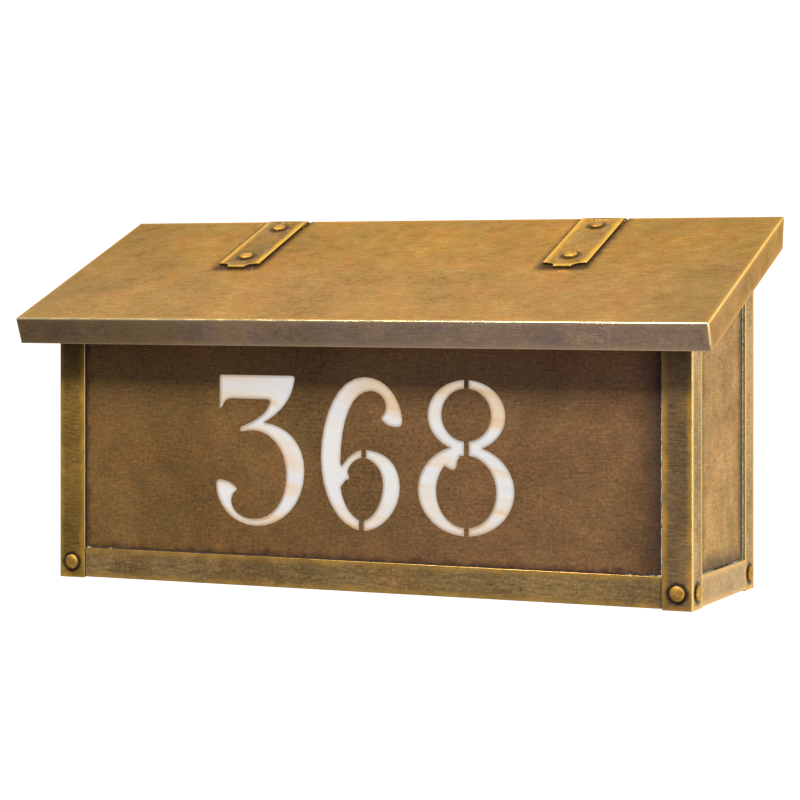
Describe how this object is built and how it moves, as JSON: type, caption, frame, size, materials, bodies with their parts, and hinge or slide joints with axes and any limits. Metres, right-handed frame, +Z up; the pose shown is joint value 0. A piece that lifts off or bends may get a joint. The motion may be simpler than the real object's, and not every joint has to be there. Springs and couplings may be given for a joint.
{
  "type": "wall mounted mailbox",
  "caption": "Wide brass wall mailbox with a sloping hinged lid on riveted straps, corner posts, bottom rails and stencil-cut house numerals backed with streaky opal glass.",
  "frame": {"origin": "centre of the four wall screw holes, in the plane of the wall", "axes": "+X to the right of someone facing the box, +Y into the wall, +Z up; the front faces -Y"},
  "size_m": [0.398, 0.138, 0.1998],
  "materials": {
    "lid_sheet": "aged, satin",
    "front_sheet": "aged, satin",
    "side_sheet": "aged, satin",
    "back_sheet": "aged, satin",
    "post_strip": "aged, satin",
    "rail_strip": "aged, satin",
    "clip_strip": "aged, satin",
    "frame_rivet": "aged, satin",
    "hinge_leaf": "aged, satin",
    "hinge_pin": "aged, satin",
    "strap": "aged, satin",
    "strap_rivet": "aged, satin",
    "opal_glass": "streaky opalescent, gloss"
  },
  "bodies": {
    "box": {"back_plate": "back_sheet", "bottom_pan": "back_sheet", "front_panel": "front_sheet", "left_side_panel": "side_sheet", "right_side_panel": "side_sheet", "front_left_post": "post_strip", "front_right_post": "post_strip", "back_left_post": "post_strip", "back_right_post": "post_strip", "front_rail": "rail_strip", "left_rail": "rail_strip", "right_rail": "rail_strip", "number_glass": "opal_glass", "glass_clips": "clip_strip", "front_rivets": "frame_rivet", "left_rivets": "frame_rivet", "right_rivets": "frame_rivet", "left_hinge_leaf": "hinge_leaf", "right_hinge_leaf": "hinge_leaf", "left_leaf_rivets": "hinge_leaf", "right_leaf_rivets": "hinge_leaf", "left_hinge_pin": "hinge_pin", "right_hinge_pin": "hinge_pin", "upper_spacer": "back_sheet", "lower_spacer": "back_sheet"},
    "lid": {"lid": "lid_sheet", "left_strap": "strap", "right_strap": "strap", "left_strap_rivets": "strap_rivet", "right_strap_rivets": "strap_rivet"}
  },
  "joints": [
    {"name": "lid_hinge", "type": "hinge", "parent": "box", "child": "lid", "pos_m": [0, -0.0042, 0.10001], "axis": [-1, 0, 0], "range_deg": [0, 105]}
  ]
}
